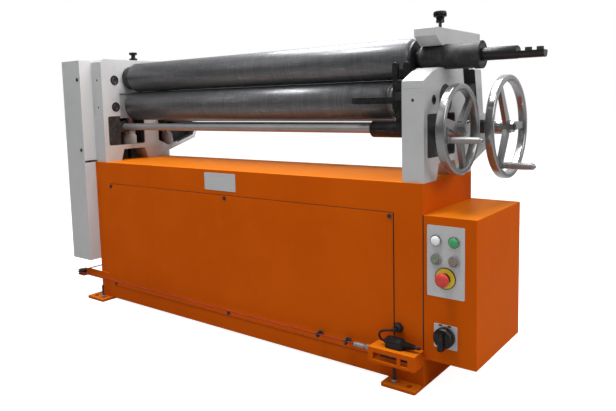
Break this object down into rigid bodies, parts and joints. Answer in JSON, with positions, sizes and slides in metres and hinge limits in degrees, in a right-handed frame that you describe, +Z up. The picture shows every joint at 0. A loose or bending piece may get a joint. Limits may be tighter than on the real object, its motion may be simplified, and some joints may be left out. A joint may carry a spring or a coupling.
{
  "type": "slip roll machine",
  "caption": "Electric slip roll on a welded base cabinet, with a hinged drop-end bearing cap, handwheels on screw jacks, a shaft clutch and a foot trip line.",
  "frame": {"origin": "on the floor, at the centre of the four anchor holes in the foot plates", "axes": "+X along the rolls from the drive end to the drop end, +Y from the front to the back, +Z up"},
  "size_m": [1.9485, 0.621, 1.08],
  "materials": {
    "orange_paint": "semi-gloss orange enamel",
    "grey_paint": "satin light grey enamel",
    "roll_steel": "oiled ground steel, dark",
    "bright_steel": "bright turned and chromed steel",
    "dark_steel": "blackened steel",
    "cast_housing": "light grey machined casting",
    "black_plastic": "black moulded plastic",
    "plate_aluminium": "satin anodised plate",
    "lamp_lens": "translucent lamp lenses in bright bezels",
    "button_green": "green push button",
    "button_red": "red push button",
    "line_red": "red sheathed line",
    "machine_grey": "grey-blue enamel",
    "zinc": "zinc plated"
  },
  "bodies": {
    "machine": {"base_cabinet": "orange_paint", "foot_plates": "orange_paint", "levelling_bolts": "zinc", "service_panel": "orange_paint", "sheet_metal_screws": "dark_steel", "control_plates": "plate_aluminium", "left_frame": "grey_paint", "right_frame": "grey_paint", "frame_bolts": "dark_steel", "frame_plugs": "dark_steel", "cap_hinge_pin": "bright_steel", "thrust_housings": "cast_housing", "shaft_brackets": "dark_steel", "gear_bridge": "grey_paint", "drive_chain": "dark_steel", "drive_cover": "grey_paint", "cover_brackets": "grey_paint", "motor": "machine_grey", "reducer": "machine_grey", "contactors": "black_plastic", "control_box": "orange_paint", "indicator_lamps": "lamp_lens", "button_bezels": "black_plastic", "switch_bracket": "orange_paint", "trip_switch": "black_plastic", "switch_lead": "black_plastic", "trip_line": "line_red", "line_guides": "orange_paint"},
    "bearing_cap": {"bearing_cap": "grey_paint"},
    "cap_knob": {"cap_knob": "black_plastic"},
    "left_top_knob": {"left_top_knob": "black_plastic"},
    "roll_carrier": {"upper_roll_bearings": "bright_steel"},
    "upper_roll": {"upper_roll": "roll_steel", "upper_roll_end_fittings": "dark_steel"},
    "upper_gear": {"upper_gear": "dark_steel"},
    "reducer_shaft": {"reducer_shaft": "dark_steel"},
    "lower_carriage": {"lower_roll_carriage": "dark_steel"},
    "lower_roll": {"lower_roll": "roll_steel", "lower_gear": "dark_steel"},
    "rear_carriage": {"rear_roll_carriage": "dark_steel"},
    "rear_roll": {"rear_roll": "roll_steel"},
    "front_shaft_left": {"front_shaft_left": "bright_steel"},
    "front_shaft_right": {"front_shaft_right": "bright_steel", "front_handwheel": "bright_steel"},
    "front_handle": {"front_handle": "bright_steel"},
    "rear_shaft": {"rear_shaft": "bright_steel", "rear_handwheel": "bright_steel"},
    "rear_handle": {"rear_handle": "bright_steel"},
    "front_worm_wheel_left": {"front_worm_wheel_left": "dark_steel"},
    "front_worm_wheel_right": {"front_worm_wheel_right": "dark_steel"},
    "rear_worm_wheel_left": {"rear_worm_wheel_left": "dark_steel"},
    "rear_worm_wheel_right": {"rear_worm_wheel_right": "dark_steel"},
    "clutch_sleeve": {"clutch_sleeve": "bright_steel"},
    "clutch_lever": {"clutch_lever": "dark_steel"},
    "start_button": {"start_button": "button_green"},
    "stop_button": {"stop_button": "button_red"},
    "stop_mushroom": {"stop_mushroom": "button_red"},
    "main_switch_knob": {"main_switch_knob": "black_plastic"},
    "trip_rod": {"turnbuckle": "bright_steel"},
    "corner_roller": {"corner_roller": "dark_steel"}
  },
  "joints": [
    {"name": "upper_roll_tilt", "type": "hinge", "parent": "machine", "child": "roll_carrier", "pos_m": [-0.7035, -0.02, 0.944], "axis": [0, -1, 0], "range_deg": [0, 4]},
    {"name": "cap_swing", "type": "hinge", "parent": "machine", "child": "bearing_cap", "pos_m": [0.7495, 0.215, 0.943], "axis": [-1, 0, 0], "range_deg": [0, 100]},
    {"name": "cap_knob_turn", "type": "hinge", "parent": "bearing_cap", "child": "cap_knob", "pos_m": [0.7495, 0.012, 1], "axis": [0, 0, 1], "range_deg": [0, 720]},
    {"name": "left_top_knob_turn", "type": "hinge", "parent": "machine", "child": "left_top_knob", "pos_m": [-0.691, 0.018, 1.03], "axis": [0, 0, 1], "range_deg": [0, 720]},
    {"name": "upper_roll_spin", "type": "hinge", "parent": "roll_carrier", "child": "upper_roll", "pos_m": [0.023, -0.02, 0.944], "axis": [1, 0, 0], "continuous": true},
    {"name": "upper_gear_spin", "type": "hinge", "parent": "machine", "child": "upper_gear", "pos_m": [-0.761, -0.02, 0.944], "axis": [1, 0, 0], "continuous": true},
    {"name": "reducer_shaft_spin", "type": "hinge", "parent": "machine", "child": "reducer_shaft", "pos_m": [-0.761, 0, 0.255], "axis": [1, 0, 0], "continuous": true},
    {"name": "lower_roll_lift", "type": "slide", "parent": "machine", "child": "lower_carriage", "axis": [0, 0, 1], "range_m": [-0.006, 0]},
    {"name": "lower_roll_spin", "type": "hinge", "parent": "lower_carriage", "child": "lower_roll", "pos_m": [0.023, -0.024, 0.8237], "axis": [1, 0, 0], "continuous": true},
    {"name": "rear_roll_lift", "type": "slide", "parent": "machine", "child": "rear_carriage", "axis": [0, -0.1908, 0.9816], "range_m": [0, 0.072]},
    {"name": "rear_roll_spin", "type": "hinge", "parent": "rear_carriage", "child": "rear_roll", "pos_m": [0.023, 0.168, 0.81], "axis": [1, 0, 0], "continuous": true},
    {"name": "front_handwheel_turn", "type": "hinge", "parent": "machine", "child": "front_shaft_right", "pos_m": [0.837, -0.058, 0.7365], "axis": [1, 0, 0], "range_deg": [-4320, 0]},
    {"name": "front_shaft_left_turn", "type": "hinge", "parent": "machine", "child": "front_shaft_left", "pos_m": [0.023, -0.058, 0.7365], "axis": [1, 0, 0], "range_deg": [-4320, 0]},
    {"name": "front_handle_spin", "type": "hinge", "parent": "front_shaft_right", "child": "front_handle", "pos_m": [0.883, -0.15836, 0.71333], "axis": [1, 0, 0], "continuous": true},
    {"name": "rear_handwheel_turn", "type": "hinge", "parent": "machine", "child": "rear_shaft", "pos_m": [0.877, 0.224, 0.731], "axis": [1, 0, 0], "range_deg": [0, 17280]},
    {"name": "rear_handle_spin", "type": "hinge", "parent": "rear_shaft", "child": "rear_handle", "pos_m": [0.923, 0.16001, 0.61555], "axis": [1, 0, 0], "continuous": true},
    {"name": "front_worm_wheel_left_turn", "type": "hinge", "parent": "machine", "child": "front_worm_wheel_left", "pos_m": [-0.7035, -0.014, 0.7365], "axis": [0, 0, 1], "range_deg": [0, 432]},
    {"name": "front_worm_wheel_right_turn", "type": "hinge", "parent": "machine", "child": "front_worm_wheel_right", "pos_m": [0.7495, -0.014, 0.7365], "axis": [0, 0, 1], "range_deg": [0, 432]},
    {"name": "rear_worm_wheel_left_turn", "type": "hinge", "parent": "machine", "child": "rear_worm_wheel_left", "pos_m": [-0.698, 0.18484, 0.72339], "axis": [0, -0.1908, 0.9816], "range_deg": [-4320, 0]},
    {"name": "rear_worm_wheel_right_turn", "type": "hinge", "parent": "machine", "child": "rear_worm_wheel_right", "pos_m": [0.744, 0.18484, 0.72339], "axis": [0, -0.1908, 0.9816], "range_deg": [-4320, 0]},
    {"name": "clutch_lever_swing", "type": "hinge", "parent": "machine", "child": "clutch_lever", "pos_m": [0.677, -0.096, 0.835], "axis": [0, 1, 0], "range_deg": [0, 5]},
    {"name": "clutch_sleeve_slide", "type": "slide", "parent": "front_shaft_left", "child": "clutch_sleeve", "axis": [1, 0, 0], "range_m": [-0.0088, 0]},
    {"name": "start_button_press", "type": "slide", "parent": "machine", "child": "start_button", "axis": [0, 1, 0], "range_m": [0, 0.003], "stiffness_N_per_m": 500},
    {"name": "stop_button_press", "type": "slide", "parent": "machine", "child": "stop_button", "axis": [0, 1, 0], "range_m": [0, 0.003], "stiffness_N_per_m": 500},
    {"name": "stop_mushroom_press", "type": "slide", "parent": "machine", "child": "stop_mushroom", "axis": [0, 1, 0], "range_m": [0, 0.005]},
    {"name": "main_switch_turn", "type": "hinge", "parent": "machine", "child": "main_switch_knob", "pos_m": [0.8495, -0.19, 0.171], "axis": [0, 1, 0], "range_deg": [0, 90]},
    {"name": "trip_rod_pull", "type": "slide", "parent": "machine", "child": "trip_rod", "axis": [-1, 0, 0], "range_m": [0, 0.003], "stiffness_N_per_m": 4000},
    {"name": "corner_roller_spin", "type": "hinge", "parent": "machine", "child": "corner_roller", "pos_m": [-0.862, -0.1885, 0.098], "axis": [0, 0, 1], "continuous": true}
  ],
  "couplings": [
    {"joint": "cap_swing", "follows": "upper_roll_tilt", "ratio": 25},
    {"joint": "lower_roll_spin", "follows": "upper_roll_spin", "ratio": -1},
    {"joint": "upper_gear_spin", "follows": "upper_roll_spin", "ratio": 1},
    {"joint": "reducer_shaft_spin", "follows": "upper_roll_spin", "ratio": 1.4615},
    {"joint": "lower_roll_lift", "follows": "front_handwheel_turn", "m_per_rad": 0.000079577},
    {"joint": "front_shaft_left_turn", "follows": "front_handwheel_turn", "ratio": 1},
    {"joint": "front_worm_wheel_left_turn", "follows": "front_handwheel_turn", "ratio": -0.1},
    {"joint": "front_worm_wheel_right_turn", "follows": "front_handwheel_turn", "ratio": -0.1},
    {"joint": "rear_roll_lift", "follows": "rear_handwheel_turn", "m_per_rad": 0.00023873},
    {"joint": "rear_worm_wheel_left_turn", "follows": "rear_handwheel_turn", "ratio": -0.25},
    {"joint": "rear_worm_wheel_right_turn", "follows": "rear_handwheel_turn", "ratio": -0.25},
    {"joint": "clutch_sleeve_slide", "follows": "clutch_lever_swing", "m_per_rad": -0.0985}
  ]
}
